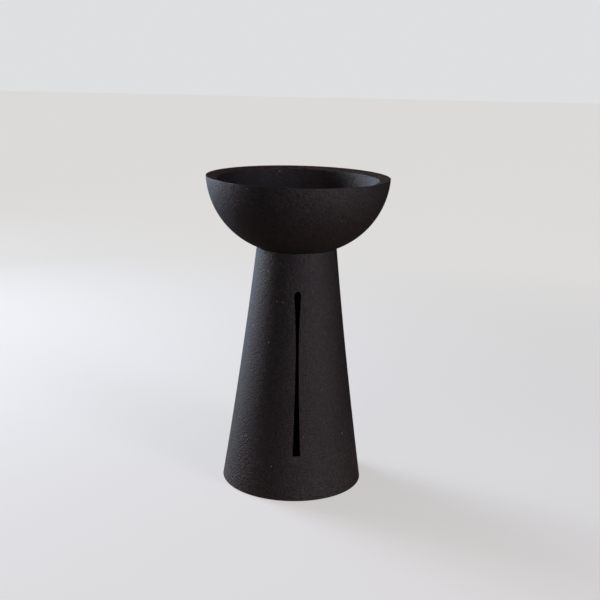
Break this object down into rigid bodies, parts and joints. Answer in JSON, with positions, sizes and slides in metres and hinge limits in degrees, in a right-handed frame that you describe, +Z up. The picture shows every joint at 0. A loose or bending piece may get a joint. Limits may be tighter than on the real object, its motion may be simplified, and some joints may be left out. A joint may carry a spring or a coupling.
{
  "type": "incense burner",
  "caption": "Tall black stoneware incense burner: a round bowl seated on a hollow flared stand with a waisted slot, over a low ash dish with a stick holder.",
  "frame": {"origin": "on the burner's axis, at the table it stands on", "axes": "+Z up along the axis of the bowl and stand; the slot in the stand faces -Y"},
  "size_m": [0.1392, 0.1392, 0.24],
  "materials": {
    "stoneware": "matt unglazed black with a fine grain",
    "brass": "turned and darkened",
    "felt": "dark wool felt"
  },
  "bodies": {
    "base": {"base_dish": "stoneware", "dish_felt": "felt"},
    "holder": {"stick_holder": "brass"},
    "stand": {"stand": "stoneware", "stand_felt": "felt"},
    "bowl": {"bowl": "stoneware"}
  },
  "joints": [
    {"name": "stand_lift", "type": "slide", "parent": "base", "child": "stand", "axis": [0, 0, 1], "range_m": [0, 0.16]},
    {"name": "bowl_lift", "type": "slide", "parent": "stand", "child": "bowl", "axis": [0, 0, 1], "range_m": [0, 0.06]},
    {"name": "holder_lift", "type": "slide", "parent": "base", "child": "holder", "axis": [0, 0, 1], "range_m": [0, 0.03]}
  ]
}
